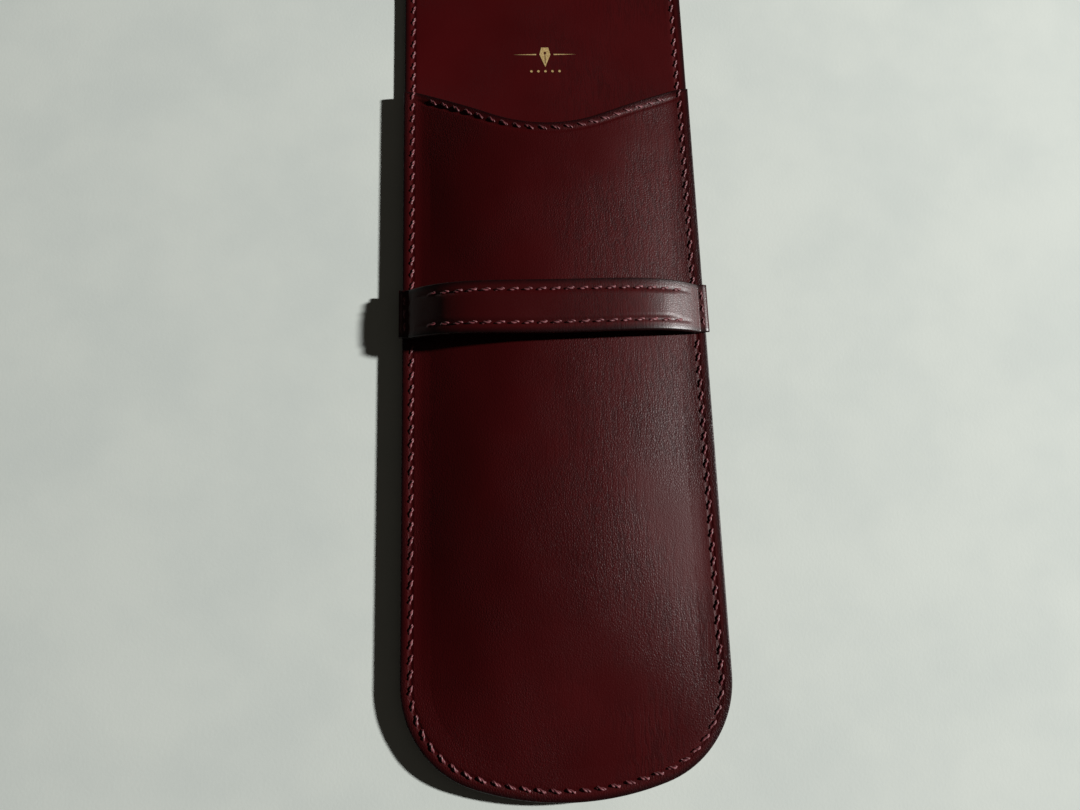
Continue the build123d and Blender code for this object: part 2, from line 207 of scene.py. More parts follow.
# %% The flap's outline
TAPER_Y, TONGUE_HALF, TONGUE_Y = MOUTH_Y + 31.0, 25.0, MOUTH_Y + 82.0
TAPER_R, FLAP_CORNER_R, FLAP_END_R = 90.0, 17.0, 44.0
TAPER = math.atan2(HALF - TONGUE_HALF, TONGUE_Y - TAPER_Y)


def flap_path(inset, start_y):
    """Right side up, round the tongue's end, left side down."""
    ease_x, ease_y = HALF - TAPER_R, TAPER_Y - TAPER_R * math.tan(TAPER / 2)
    end_y = FLAP_END_Y - FLAP_END_R
    base_x = HALF - FLAP_CORNER_R * math.cos(TAPER)
    base_y = TAPER_Y - FLAP_CORNER_R * math.sin(TAPER) - end_y
    along_x, along_y = -math.sin(TAPER), math.cos(TAPER)
    half_b = base_x * along_x + base_y * along_y
    rest = base_x**2 + base_y**2 - (FLAP_END_R - FLAP_CORNER_R) ** 2
    travel = -half_b + math.sqrt(half_b**2 - rest)
    corner_x, corner_y = base_x + travel * along_x, base_y + travel * along_y + end_y
    side_turn = math.degrees(TAPER)
    end_turn = math.degrees(math.atan2(corner_y - end_y, corner_x))
    eased = polar(ease_x, ease_y, TAPER_R - inset, side_turn)
    tapered = polar(corner_x, corner_y, FLAP_CORNER_R - inset, side_turn)
    half = [
        *line((HALF - inset, start_y), (HALF - inset, ease_y), POINT_STEP),
        *arc(ease_x, ease_y, TAPER_R - inset, 0, side_turn, TAPER_R),
        *line(eased, tapered, TONGUE_Y - TAPER_Y),
        *arc(corner_x, corner_y, FLAP_CORNER_R - inset, side_turn, end_turn, FLAP_CORNER_R),
        *arc(0, end_y, FLAP_END_R - inset, end_turn, 90, FLAP_END_R),
    ]
    top = polar(0, end_y, FLAP_END_R - inset, 90)
    return half + [top] + [(-x, y) for x, y in reversed(half)]


# %% [markdown]
# ## The heights
# The pens have pressed a dome into the front panel, and the tongue keeps the same curve. A height is a
# function of x and y, and every layer above or below is the same function plus a thickness, so layers
# never cut into each other. Soft, slow waves are added to the dome, because no leather lies perfect.

# %% Dome, curl and strap
MARGIN, DOME_FALL = 3.3, 50.0
MARGIN_TOP = front_low.z + LEATHER
DOME_HEIGHT = front_high.z - MARGIN_TOP
CURL, CURL_FROM_Y, CURL_FULL_Y = 0.00486, MOUTH_Y + 24.0, MOUTH_Y + 66.0


def ease(t):
    t = min(1.0, max(0.0, t))
    return t * t * (3 - 2 * t)


def bulge(u):
    return (1 - min(1.0, abs(u)) ** 2.4) ** 1.25


def edge_distance(x, y):
    """How far a point lies inside the pocket's sides and bottom."""
    side = HALF - abs(x)
    if y > CORNER_Y:
        return side
    from_corner = math.hypot(abs(x) - CORNER_X, y - CORNER_Y)
    from_bottom = math.hypot(x, y - BOTTOM_CENTRE_Y)
    in_corner = abs(x) > CORNER_X and -math.degrees(math.atan2(y - CORNER_Y, abs(x) - CORNER_X)) < CORNER_TURN
    return CORNER_R - from_corner if in_corner else min(side, BOTTOM_R - from_bottom)


def waves(x, y):
    """Slow unevenness of the leather, up to about a tenth of a millimetre."""
    long_wave = math.sin(x * 0.21 + 1.3 * math.sin(y * 0.045)) * math.sin(y * 0.07 + 0.6)
    short_wave = math.sin(x * 0.47 + 2.1) * math.sin(y * 0.16 + x * 0.05)
    return 0.07 * long_wave + 0.035 * short_wave


def dent(x, y, at_x, at_y, reach, depth):
    """A shallow round hollow."""
    return -depth * math.exp(-((x - at_x) ** 2 + (y - at_y) ** 2) / reach**2)


def front_under(x, y):
    """The underside of the front panel's outer leather."""
    across = bulge(x / (HALF - MARGIN))
    along = bulge(max(0.0, BOTTOM_Y + MARGIN + DOME_FALL - y) / DOME_FALL)
    settle = ease((edge_distance(x, y) - MARGIN) / 3.0)
    below_mouth = ease((MOUTH_Y - 12.6 - y) / 6.0)
    dents = dent(x, y, 13, BOTTOM_Y + 15, 7, 0.16) + dent(x, y, 4, BOTTOM_Y + 24, 9, 0.1)
    uneven = settle * below_mouth * (waves(x, y) - 0.1 + dents)
    return MARGIN_TOP - LEATHER + DOME_HEIGHT * across * along + uneven


def curl(x, y):
    """How far the flap's curl lifts it."""
    return CURL * x * x * ease((y - CURL_FROM_Y) / (CURL_FULL_Y - CURL_FROM_Y))


def level(height):
    return lambda x, y: height


# %% [markdown]
# ## Meshes from rings
# A leather piece is drawn as rings that start on its upper face a few millimetres in, run over the
# groove, round the edge and back under. Inside the innermost ring a Delaunay fill of evenly spread
# points carries the dome smoothly, whatever the outline. Two values are stored on every point: where
# it lay at rest, which the grain is drawn from so that it never slides, and how close it is to the edge.

# %% Store a mesh with its rest place and edge value
PIECES = {}
SHARP = math.radians(50)


def add_mesh(name, points, faces, edge):
    """A smooth mesh from points in millimetres; edge is 1 on the dyed edge and 0 away from it."""
    mesh = bpy.data.meshes.new(name)
    mesh.from_pydata([Vector(p) * MM for p in points], [], faces)
    mesh.validate()
    mesh.shade_smooth()
    mesh.set_sharp_from_angle(angle=SHARP)
    rest = mesh.attributes.new("rest", "FLOAT_VECTOR", "POINT")
    rest.data.foreach_set("vector", np.array(points, np.float32).ravel())
    dyed = mesh.attributes.new("edge", "FLOAT", "POINT")
    dyed.data.foreach_set("value", np.array(edge, np.float32))
    made = bpy.data.objects.new(name, mesh)
    bpy.context.scene.collection.objects.link(made)
    PIECES[name] = made
    return made


EDGE_DYE, EDGE_FADE = 0.4, 0.9  # the dye is full this near the edge, and gone that much further in


def dye(inset):
    return 1 - ease((inset - EDGE_DYE) / EDGE_FADE)


# %% The section of a layer's edge, as distance from the edge and height above the layer's underside
BAND = 6.0
SEAM_INSET, GROOVE_DEPTH = 2.1, 0.13
GROOVE = ((0.75, 0.0), (0.5, 0.15), (0.32, 0.8), (0.0, 1.0), (-0.32, 0.8), (-0.5, 0.15), (-0.75, 0.0))


def face_band(groove_depth, groove_inset):
    """Inset and depth of the points on a face, from the inside out to where the edge's rounding starts."""
    inside = [(BAND, 0.0), (4.6, 0.0), (3.6, 0.0)]
    groove = [(groove_inset + away, groove_depth * share) for away, share in GROOVE if groove_depth > 0]
    return inside + groove


def rounding(radius):
    """Inset and depth of a quarter turn."""
    turns = [math.radians(a) for a in (0, 22.5, 45, 67.5, 90)]
    return [(radius * (1 - math.sin(t)), radius * (1 - math.cos(t))) for t in turns]


def section(thickness, top_round, low_round, top_groove=0.0, low_groove=0.0, groove_inset=SEAM_INSET):
    """(inset, height) from the upper face's inside, round the edge, to the lower face's inside."""
    top = face_band(top_groove, groove_inset) + rounding(top_round)
    low = face_band(low_groove, groove_inset) + rounding(low_round)
    return [(i, thickness - d) for i, d in top] + [(i, d) for i, d in reversed(low)]


# %% Fill a loop with triangles
def inside_loop(points, loop):
    """Which points lie inside a closed loop, by counting crossings."""
    x, y = points[:, 0], points[:, 1]
    inside = np.zeros(len(points), bool)
    for (x0, y0), (x1, y1) in zip(loop, np.roll(loop, -1, axis=0)):
        if y0 != y1:
            crosses = (y0 > y) != (y1 > y)
            inside ^= crosses & (x < x0 + (y - y0) * (x1 - x0) / (y1 - y0))
    return inside


def fill(loop, spacing):
    """Extra points inside the loop, and triangles over loop points then extra points."""
    loop = np.array(loop)
    low, high = loop.min(0), loop.max(0)
    xs = np.arange(low[0], high[0], spacing)
    ys = np.arange(low[1], high[1], spacing)
    grid = np.array([(x + spacing / 2 * (j % 2), y) for j, y in enumerate(ys) for x in xs])
    grid = grid[inside_loop(grid, loop)]
    gap = np.sqrt(((grid[:, None, :] - loop[None, :, :]) ** 2).sum(2)).min(1)
    grid = grid[gap > 0.6 * spacing]
    points = np.vstack([loop, grid])
    found = delaunay_2d_cdt([Vector(p) for p in points], [], [list(range(len(loop)))], 1, 1e-5)
    back_to = [ids[0] if ids else None for ids in found[3]]
    triangles = [[back_to[i] for i in face] for face in found[2]]
    return grid, [t for t in triangles if None not in t]


# %% Build a layer whose outline is a closed ring, or an open path closed by a straight cut
FILL_SPACING = 1.5


def build_layer(name, path, profile, height, is_closed, spacing=FILL_SPACING):
    """path(inset) gives a ring's points, profile the section, height(x, y) the layer's underside."""
    rings = [path(inset) for inset, _ in profile]
    count = len(rings[0])
    points, edge, faces = [], [], []
    for (inset, lift), ring in zip(profile, rings):
        points += [(x, y, height(x, y) + lift) for x, y in ring]
        edge += [dye(inset)] * count
    for r in range(len(rings) - 1):
        for i in range(count if is_closed else count - 1):
            a, b = r * count + i, r * count + (i + 1) % count
            faces.append([a, a + count, b + count, b])
    first, last = rings[0][0], rings[0][-1]
    cut_count = 0 if is_closed else round(abs(first[0] - last[0]) / FILL_SPACING)
    shares = [(i + 1) / (cut_count + 1) for i in range(cut_count)]
    cut = [(last[0] + (first[0] - last[0]) * s, last[1] + (first[1] - last[1]) * s) for s in shares]
    extra, triangles = fill(list(rings[0]) + cut, spacing)
    inner = cut + [tuple(p) for p in extra]
    sides = []
    for ring_index, flip in ((0, False), (len(rings) - 1, True)):
        lift = profile[ring_index][1]
        start = len(points)
        points += [(x, y, height(x, y) + lift) for x, y in inner]
        edge += [0.0] * len(inner)
        where = [ring_index * count + i for i in range(count)] + [start + i for i in range(len(inner))]
        for triangle in triangles:
            corners = [where[i] for i in triangle]
            faces.append(corners[::-1] if flip else corners)
        sides.append(start)
    if not is_closed:
        ends = [r * count for r in range(len(rings))]
        cap = ends + [sides[1] + i for i in reversed(range(cut_count))]
        cap += [e + count - 1 for e in reversed(ends)] + [sides[0] + i for i in range(cut_count)]
        faces.append(cap)
    return add_mesh(name, points, faces, edge)


# %% [markdown]
# ## The back skin and the flap
# On the real case the back's leather and lining run on past the mouth as one skin and become the flap.
# The frame folds it over the mouth at two creases, with a narrow spine between them, so each layer is
# cut halfway up the spine into short straight pieces, one across each crease. The pieces meet edge to
# edge at rest.

# %% Where the skin is cut: halfway up the spine, and as far beyond each crease
half_strip = (CREASES[1] - CREASES[0]) / 2
CUTS = [CREASES[0] - half_strip] + [c + half_strip for c in CREASES]
ROLL_STEPS = 28
EDGE_ROUND = 0.38
CORE_ROUND = 0.06  # where two layers meet at the edge
print("skin cut at", np.round(CUTS, 2))

layers = {
    "leather": dict(low=0.0, nodes=("back_panel", "fold_leather", "flap_leather"), slot="outer_leather"),
    "lining": dict(low=LEATHER, nodes=("back_lining", "fold_lining", "flap_lining"), slot="lining_leather"),
}
layers["leather"]["profile"] = section(LEATHER, CORE_ROUND, EDGE_ROUND, low_groove=0.35)
layers["lining"]["profile"] = section(SKIN - LEATHER, EDGE_ROUND, CORE_ROUND, top_groove=GROOVE_DEPTH)


def build_roll(name, profile, low, start_y, end_y):
    """A strip straight across the case, with the layer's section at both sides."""
    right = [(HALF - inset, lift) for inset, lift in profile]
    x_in = HALF - BAND
    across = [x_in * (1 - 2 * (i + 1) / 24) for i in range(23)]
    under = [(x, profile[-1][1]) for x in across]
    over = [(-x, profile[0][1]) for x in across]
    loop = right + under + [(-x, z) for x, z in reversed(right)] + over
    insets = [i for i, _ in profile]
    edge_loop = [dye(i) for i in insets] + [0.0] * 23 + [dye(i) for i in reversed(insets)] + [0.0] * 23
    points, faces, edge = [], [], []
    for step in range(ROLL_STEPS + 1):
        y = start_y + (end_y - start_y) * step / ROLL_STEPS
        points += [(x, y, low + z) for x, z in loop]
        edge += edge_loop
    n = len(loop)
    for step in range(ROLL_STEPS):
        for i in range(n):
            a, b = step * n + i, step * n + (i + 1) % n
            faces.append([a, a + n, b + n, b])
    faces.append(list(range(n)))
    faces.append([ROLL_STEPS * n + i for i in reversed(range(n))])
    return add_mesh(name, points, faces, edge)


def bend_across(piece):
    """Bakes a piece's place into its mesh; the piece is not bent."""
    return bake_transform(piece)


for kind, layer in layers.items():
    low, profile = layer["low"], layer["profile"]
    back = build_layer(f"back_{kind}", lambda i: pocket_path(i, CUTS[0]), profile, level(low), False)
    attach(back, "pouch")
    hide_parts(layer["nodes"][0])
    tongue = build_layer(
        f"tongue_{kind}", lambda i: flap_path(i, CUTS[-1]), profile, lambda x, y: low + curl(x, y), False
    )
    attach(tongue, "flap")
    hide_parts(layer["nodes"][2])
    made = [back, tongue]
    for index in range(len(CREASES)):
        roll = build_roll(f"roll_{index + 1}_{kind}", profile, low, CUTS[index], CUTS[index + 1])
        bend_across(roll)
        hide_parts(layer["nodes"][1])
        made.append(roll)
    for piece in made:
        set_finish(piece, layer["slot"])

# %% [markdown]
# ## The front panel
# The front is two layers, outer leather over lining, domed over the pocket and pressed flat along the
# seam. Its mouth is turned smooth and has its own row of stitches close to the edge. The outer leather
# gets the groove of both rows; the lining only shows as the second layer in the edge.

# %% Front leather and lining
front_profile = section(LEATHER, EDGE_ROUND, CORE_ROUND, top_groove=GROOVE_DEPTH)
front = build_layer("front_leather", front_path, front_profile, front_under, True)
lining_thickness = SKIN - LEATHER
inner_profile = section(lining_thickness, CORE_ROUND, CORE_ROUND)
inner = build_layer(
    "pocket_lining", front_path, inner_profile, lambda x, y: front_under(x, y) - lining_thickness, True
)
for piece, node, slot in ((front, "front_panel", "outer_leather"), (inner, "front_lining", "lining_leather")):
    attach(piece, "pouch")
    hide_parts(node)
    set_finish(piece, slot)
print("front panel", len(front.data.vertices), "points")

# %% [markdown]
# ## The strap
# The strap is a band of leather with a lining under it and a thin filler between its two rows of
# stitches, which makes its middle stand up. It arches over the pocket, comes down steeply and ends in
# two small feet on the side seams. It is drawn as sections across the band, moved along its side view.

# %% The strap's side view
strap_low, strap_high = box_mm("strap_leather")
STRAP_LINING, STRAP_LEATHER, STRAP_FILLER = 0.4, 0.6, 0.3
FOOT_X, FOOT_THICKNESS, STRAP_POWER = 29.9, 0.7, 4.0
FOOT_END_X = strap_high.x
FOOT_LOW = strap_low.z
STRAP_RISE = box_mm("strap_lining")[1].z - STRAP_LINING - FOOT_LOW
STRAP_Y, STRAP_BOW = MOUTH_Y - 52.6, 1.0
STRAP_WIDTH, STRAP_END_WIDTH = 11.3, 10.5
STRAP_ROW_INSET = 2.1
print("strap rises", round(STRAP_RISE, 2), "over", round(2 * FOOT_X, 1))


def strap_under(x):
    u = min(1.0, abs(x) / FOOT_X)
    return FOOT_LOW + STRAP_RISE * (1 - u**STRAP_POWER)


def strap_slope(x):
    u = min(1.0, abs(x) / FOOT_X)
    return -math.copysign(STRAP_RISE * STRAP_POWER * u ** (STRAP_POWER - 1) / FOOT_X, x)


def strap_offset(x, away):
    """A point at that distance above the underside of the arch, in side view, with its normal."""
    slope = strap_slope(x)
    size = math.hypot(1, slope)
    normal = (-slope / size, 1 / size)
    return (x + away * normal[0], strap_under(x) + away * normal[1]), normal


def strap_middle_y(x):
    return STRAP_Y + STRAP_BOW * ((x / FOOT_X) ** 2 - 1)


def strap_half_width(x):
    return (STRAP_WIDTH + (STRAP_END_WIDTH - STRAP_WIDTH) * (x / FOOT_END_X) ** 2) / 2


# %% Sections along the strap
ARCH_STEPS, FOOT_STEPS = 96, 10


def strap_stations(low, high, with_feet):
    """(lower point, upper point, normal) in side view, from one end of the strap to the other."""
    half = []
    for i in range(ARCH_STEPS + 1):
        x = FOOT_X * math.sin(math.pi / 2 * i / ARCH_STEPS)
        under, normal = strap_offset(x, low)
        over, _ = strap_offset(x, high)
        half.append((under, over, normal))
    if with_feet:
        toe = half[-1][1]
        settle = [h for h in half if h[1][1] > FOOT_LOW + FOOT_THICKNESS + 0.1]
        half = settle
        start_x = settle[-1][1][0]
        under_x = settle[-1][0][0]
        for i in range(1, FOOT_STEPS + 1):
            share = i / FOOT_STEPS
            drop = 0.32 * ease((share - 0.45) / 0.5) ** 2
            top_z = FOOT_LOW + FOOT_THICKNESS - drop + 0.1 * (1 - share) ** 3
            over = (start_x + (FOOT_END_X - start_x) * share, top_z)
            under = (under_x + (FOOT_END_X - under_x) * share, FOOT_LOW + 0.28 * (1 - share) ** 4)
            half.append((under, over, (0.0, 1.0)))
        print("foot starts at", round(start_x, 2), "toe", round(toe[0], 2))
    mirrored = [((-u[0], u[1]), (-o[0], o[1]), (-n[0], n[1])) for u, o, n in reversed(half[1:])]
    return mirrored + half


def crown(across, x):
    """How far the filler and the groove of each stitch row lift or sink the strap's face."""
    row = strap_half_width(x) - STRAP_ROW_INSET
    fade = 1 - ease((abs(x) - 22.0) / 5.0)
    raised = STRAP_FILLER * (1 - ease((abs(across) - row + 1.15) / 1.0)) * fade
    sunk = 0.1 * max(0.0, 1 - ((abs(across) - row) / 0.45) ** 2) * (1 - ease((abs(x) - 27.0) / 2.0))
    return raised - sunk


def build_strap(name, low, high, with_feet, has_crown, top_round, low_round):
    stations = strap_stations(low, high, with_feet)
    inner_insets = [0.9, 1.3, 1.6, 1.8, 2.1, 2.4, 2.6, 2.9, 3.2, 3.6, 4.2, 4.9]
    points, faces, edge = [], [], []
    for under, over, normal in stations:
        x = (under[0] + over[0]) / 2
        half, middle = strap_half_width(x), strap_middle_y(x)
        top = [(inset, depth) for inset, depth in rounding(top_round)]
        low_side = [(inset, depth) for inset, depth in reversed(rounding(low_round))]
        plan = [(-half + i, "over", 0.0, i) for i in reversed(inner_insets)]
        plan += [(-half + i, "over", d, i) for i, d in top]
        plan += [(-half + i, "under", d, i) for i, d in low_side]
        mirrored = [(-v, side, d, i) for v, side, d, i in reversed(plan)]
        for v, side, depth, inset in plan + mirrored:
            base = over if side == "over" else under
            away = -depth if side == "over" else depth
            if side == "over" and has_crown:
                away += crown(v, x)
            points.append((base[0] + away * normal[0], middle + v, base[1] + away * normal[1]))
            edge.append(dye(inset))
    n = len(points) // len(stations)
    for s in range(len(stations) - 1):
        for i in range(n):
            a, b = s * n + i, s * n + (i + 1) % n
            faces.append([a, b, b + n, a + n])
    faces.append(list(reversed(range(n))))
    faces.append([(len(stations) - 1) * n + i for i in range(n)])
    return add_mesh(name, points, faces, edge)


strap_top = STRAP_LINING + STRAP_LEATHER
band = build_strap("strap_band", STRAP_LINING, strap_top, True, True, 0.28, 0.06)
band_lining = build_strap("strap_band_lining", 0.0, STRAP_LINING, False, False, 0.06, 0.2)
for piece, node, slot in (
    (band, "strap_leather", "outer_leather"),
    (band_lining, "strap_lining", "lining_leather"),
):
    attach(piece, "pouch")
    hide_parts(node)
    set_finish(piece, slot)
print("strap", len(band.data.vertices), "points")

# %% [markdown]
# ## The stitches
# A saddle stitch is two plies of waxed linen twisted together. Each one slants, lies in the pressed
# groove and dives into its hole at both ends. The frame has every stitch as a small block, so a
# detailed thread is drawn along each block, and the rows keep their count and their slant.

# %% Find the blocks of a node
def blocks_of(node):
    """Centre, half length direction and thickness direction of each separate block in a node."""
    mesh = frame["nodes"][node].data
    points = np.array([v.co for v in mesh.vertices]) / MM
    keys, where = np.unique(np.round(points, 4), axis=0, return_inverse=True)
    where = where.ravel()
    group = list(range(len(keys)))

    def root(i):
        while group[i] != i:
            group[i] = group[group[i]]
            i = group[i]
        return i

    for edge in mesh.edges:
        a, b = (root(where[v]) for v in edge.vertices)
        group[a] = b
    roots = np.array([root(i) for i in range(len(keys))])
    blocks = []
    for r in np.unique(roots):
        own = keys[roots == r]
        middle = own.mean(0)
        _, axes = np.linalg.eigh((own - middle).T @ (own - middle))
        along, thin = axes[:, 2], axes[:, 0]
        reach = np.abs((own - middle) @ along).max()
        blocks.append((middle, along * reach, thin))
    return sorted(blocks, key=lambda b: (round(b[0][1], 3), round(b[0][0], 3), round(b[0][2], 3)))


# %% Twist a stitch along a block
PLY_R, PLY_AWAY, STITCH_TURNS = 0.19, 0.12, 1.0
STITCH_RINGS, PLY_SIDES = 11, 7
SEAT = 0.18  # how far a stitch sinks below its block's middle
DIVE = 0.42  # and how deep its ends go into their holes


def twist_stitch(middle, half, up, points, faces):
    """Adds the two plies of one stitch to a list of points and a list of faces."""
    length = np.linalg.norm(half)
    along = half / length
    side = np.cross(up, along)
    length *= random.uniform(1.2, 1.3)
    phase, seat = random.uniform(0, math.tau), SEAT + random.uniform(-0.02, 0.03)
    for ply in (0, math.pi):
        start = len(points)
        for ring in range(STITCH_RINGS):
            s = 2 * ring / (STITCH_RINGS - 1) - 1
            lift = -seat - DIVE * abs(s) ** 5
            narrow = 1 - 0.45 * abs(s) ** 4
            turn = phase + ply + math.tau * STITCH_TURNS * s / 2
            centre = middle + along * length * s + up * lift
            centre = centre + (side * math.cos(turn) + up * math.sin(turn)) * PLY_AWAY * narrow
            for i in range(PLY_SIDES):
                a = math.tau * i / PLY_SIDES
                points.append(centre + (side * math.cos(a) + up * math.sin(a)) * PLY_R * narrow)
        for ring in range(STITCH_RINGS - 1):
            for i in range(PLY_SIDES):
                a, b = start + ring * PLY_SIDES + i, start + ring * PLY_SIDES + (i + 1) % PLY_SIDES
                faces.append([a, b, b + PLY_SIDES, a + PLY_SIDES])
        faces.append([start + i for i in reversed(range(PLY_SIDES))])
        faces.append([start + (STITCH_RINGS - 1) * PLY_SIDES + i for i in range(PLY_SIDES)])


# %% Sew every row
def faces_down(node, z):
    """Whether a stitch is on the case's outside, where it shows from below at rest."""
    if node.startswith("fold"):
        return z < SKIN / 2
    return node in ("seam_thread_back", "flap_thread_leather_side")


stitch_count = 0
for node, part in frame["nodes"].items():
    if "thread" not in node:
        continue
    points, faces, tint = [], [], []
    for middle, half, thin in blocks_of(node):
        up = thin if (thin[2] > 0) != faces_down(node, middle[2]) else -thin
        before = len(points)
        twist_stitch(middle, half, up, points, faces)
        tint += [random.random()] * (len(points) - before)
        stitch_count += 1
    sewn = add_mesh(f"sewn_{node}", points, faces, tint)
    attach(sewn, part["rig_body"])
    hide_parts(node)
    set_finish(sewn, "thread")
print("stitches", stitch_count)

# %% [markdown]
# ## Writing finishes as sums
# A finish is a small calculation repeated at every point of the surface. This class holds one socket
# of a node tree, so that sums and products written in Python add the Math nodes that do the same.

# %% One socket that can be added, multiplied and mixed
class Flow:
    """A value, vector or colour on its way through a material's nodes."""

    def __init__(self, tree, socket=None):
        self.tree, self.socket = tree, socket

    def node(self, kind, settings=(), inputs=(), output=0):
        """Any node: its settings first, then its sockets, by name or number."""
        made = self.tree.nodes.new(kind)
        for name, value in dict(settings).items():
            setattr(made, name, value)
        for name, value in dict(inputs).items():
            if isinstance(value, Flow):
                self.tree.links.new(value.socket, made.inputs[name])
            else:
                made.inputs[name].default_value = value
        return Flow(self.tree, made.outputs[output])

    def maths(self, operation, *values):
        if any(isinstance(v, Flow) and v.socket.type == "VECTOR" for v in values):
            wide = [v if isinstance(v, (Flow, tuple)) else (v, v, v) for v in values]
            return self.node("ShaderNodeVectorMath", {"operation": operation}, enumerate(wide))
        return self.node("ShaderNodeMath", {"operation": operation}, enumerate(values))

    def __add__(self, other):
        return self.maths("ADD", self, other)

    def __sub__(self, other):
        return self.maths("SUBTRACT", self, other)

    def __rsub__(self, other):
        return self.maths("SUBTRACT", other, self)

    def __mul__(self, other):
        return self.maths("MULTIPLY", self, other)

    __radd__, __rmul__ = __add__, __mul__

    def size(self):
        return self.maths("ABSOLUTE", self)

    def between(self, low, high):
        """0 below low, 1 above high, and smooth between them."""
        ends = {"Value": self, "From Min": low, "From Max": high}
        return self.node("ShaderNodeMapRange", {"interpolation_type": "SMOOTHSTEP"}, ends)

    def mix(self, where_0, where_1):
        """A colour, chosen between two by this value."""
        return self.node("ShaderNodeMix", {"data_type": "RGBA"}, {0: self, 6: where_0, 7: where_1}, 2)

    def noise(self, scale, detail=2.0, roughness=0.5, distortion=0.0):
        """Soft noise at this place, from 0 to 1; scale is in features per unit."""
        inputs = {"Vector": self, "Scale": scale, "Detail": detail}
        inputs.update({"Roughness": roughness, "Distortion": distortion})
        return self.node("ShaderNodeTexNoise", {}, inputs)


def new_finish(name):
    """An empty material, its Flow and its shader."""
    material = bpy.data.materials.new(name)
    material.use_nodes = True
    tree = material.node_tree
    tree.nodes.clear()
    out = tree.nodes.new("ShaderNodeOutputMaterial")
    shader = tree.nodes.new("ShaderNodeBsdfPrincipled")
    tree.links.new(shader.outputs[0], out.inputs["Surface"])
    return material, Flow(tree), shader


def finish_with(flow, shader, constants, **varying):
    """Sets the shader's own constants, then links what varies over the surface."""
    for name, value in constants.items():
        shader.inputs[name].default_value = value
    for name, value in varying.items():
        flow.tree.links.new(value.socket, shader.inputs[name.replace("_", " ")])


def bumped(flow, height, depth):
    """A normal from a height of 0 to 1 that stands for depth in millimetres."""
    return flow.node("ShaderNodeBump", {}, {"Height": height, "Strength": 1.0, "Distance": depth * MM})


# %% [markdown]
# ## Box calf
# Box calf is glazed calfskin: very fine pores, a pebble where the hide was loose, and long soft
# creases where it was bent. Its colour is even but not flat, and painted shade darkens the creases,
# the valleys between pebbles and the pores. The cut edge is painted and polished, which shows as a
# narrow, darker and glossier rim.

# %% The leather of the outside and of the lining
def calf(name, colour, shade_colour, rim_colour, roughness, pores, pebble, creases, gloss=0.2):
    """pores, pebble and creases are depths in millimetres."""
    material, flow, shader = new_finish(name)
    rest = flow.node("ShaderNodeAttribute", {"attribute_name": "rest"}, output="Vector")
    rim = flow.node("ShaderNodeAttribute", {"attribute_name": "edge"}, output="Fac")
    fine = rest.noise(3.2, 3.0, 0.65)
    cells = rest + (rest.noise(1.1, 2.0) - 0.5) * 0.5
    inputs = {"Vector": cells, "Scale": 2.1, "Randomness": 1.0}
    valley = cells.node("ShaderNodeTexVoronoi", {"feature": "DISTANCE_TO_EDGE"}, inputs, "Distance")
    pebbles = valley.between(0.0, 0.32)
    loose = rest.noise(0.045, 2.0).between(0.36, 0.66)
    wander = rest * (1.0, 0.13, 0.3) + rest.noise(0.16, 2.0) * 1.4
    folds = (wander.noise(0.95, 2.5, 0.55) * 2.0 - 1.0).size()
    crease = 1 - folds.between(0.0, 0.16)
    where = rest.noise(0.05, 2.0).between(0.3, 0.62)
    side = rest.node("ShaderNodeSeparateXYZ", {}, {"Vector": rest}, "X").between(-14.0, 18.0)
    crease = crease * where * (side * 0.85 + 0.15)
    cloud = rest.noise(0.03, 3.0, 0.6).between(0.3, 0.7)
    tint = cloud.mix(tuple(c * 0.86 for c in colour) + (1,), tuple(c * 1.12 for c in colour) + (1,))
    # Painted shade: the colour is darkened in the creases, in the valleys between pebbles and in the low
    # spots of the pores, where shade would fall. The crease part grows towards the right, as the creases do.
    painted_shade = (crease * 0.5 + (1 - pebbles) * loose * 0.28 + (1 - fine) * 0.12)
    body = painted_shade.mix(tint, shade_colour + (1,))
    height = fine * (pores / creases) + pebbles * (loose * 0.75 + 0.25) * (pebble / creases) - crease
    shine = (fine - 0.5) * 0.16 + (1 - pebbles) * loose * 0.08 + (cloud - 0.5) * 0.05 + roughness
    worn = rest.noise(0.7, 3.0).between(0.55, 0.75) * rim
    rim_paint = (worn * 0.35).mix(rim_colour + (1,), colour + (1,))
    finish_with(
        flow,
        shader,
        {"IOR": 1.5, "Specular IOR Level": gloss},
        Base_Color=rim.mix(body, rim_paint),
        Roughness=shine - rim * 0.06,
        Normal=bumped(flow, height, creases),
    )
    return material


# The second colour of each leather is painted shade for the creases, pebble valleys and pores. RIM is the
# real dark paint on the cut edge.
BURGUNDY, CREASE_SHADE, RIM = (0.05, 0.0012, 0.0018), (0.022, 0.0006, 0.001), (0.012, 0.001, 0.0015)
LINING_BURGUNDY, LINING_SHADE = (0.056, 0.0011, 0.0018), (0.03, 0.0006, 0.001)
FINISHES = {
    "outer_leather": calf(
        "box_calf", BURGUNDY, CREASE_SHADE, RIM, 0.45, 0.034, 0.03, 0.016
    ),
    "lining_leather": calf(
        "lining_calf", LINING_BURGUNDY, LINING_SHADE, RIM, 0.46, 0.016, 0.008, 0.008
    ),
}
rubbed = calf(
    "rubbed_calf", BURGUNDY, CREASE_SHADE, RIM, 0.4, 0.016, 0.014, 0.008, 0.36
)
print("calf finishes", len(FINISHES) + 1)

# %% [markdown]
# ## Thread, gold and board
# The thread is waxed, so it shines softly along its plies, and each stitch has taken up a little more
# or less dye. The ornament is gold leaf pressed with a hot tool: metal with a slight grain. The board
# that stiffens the case is grey-brown fibre.

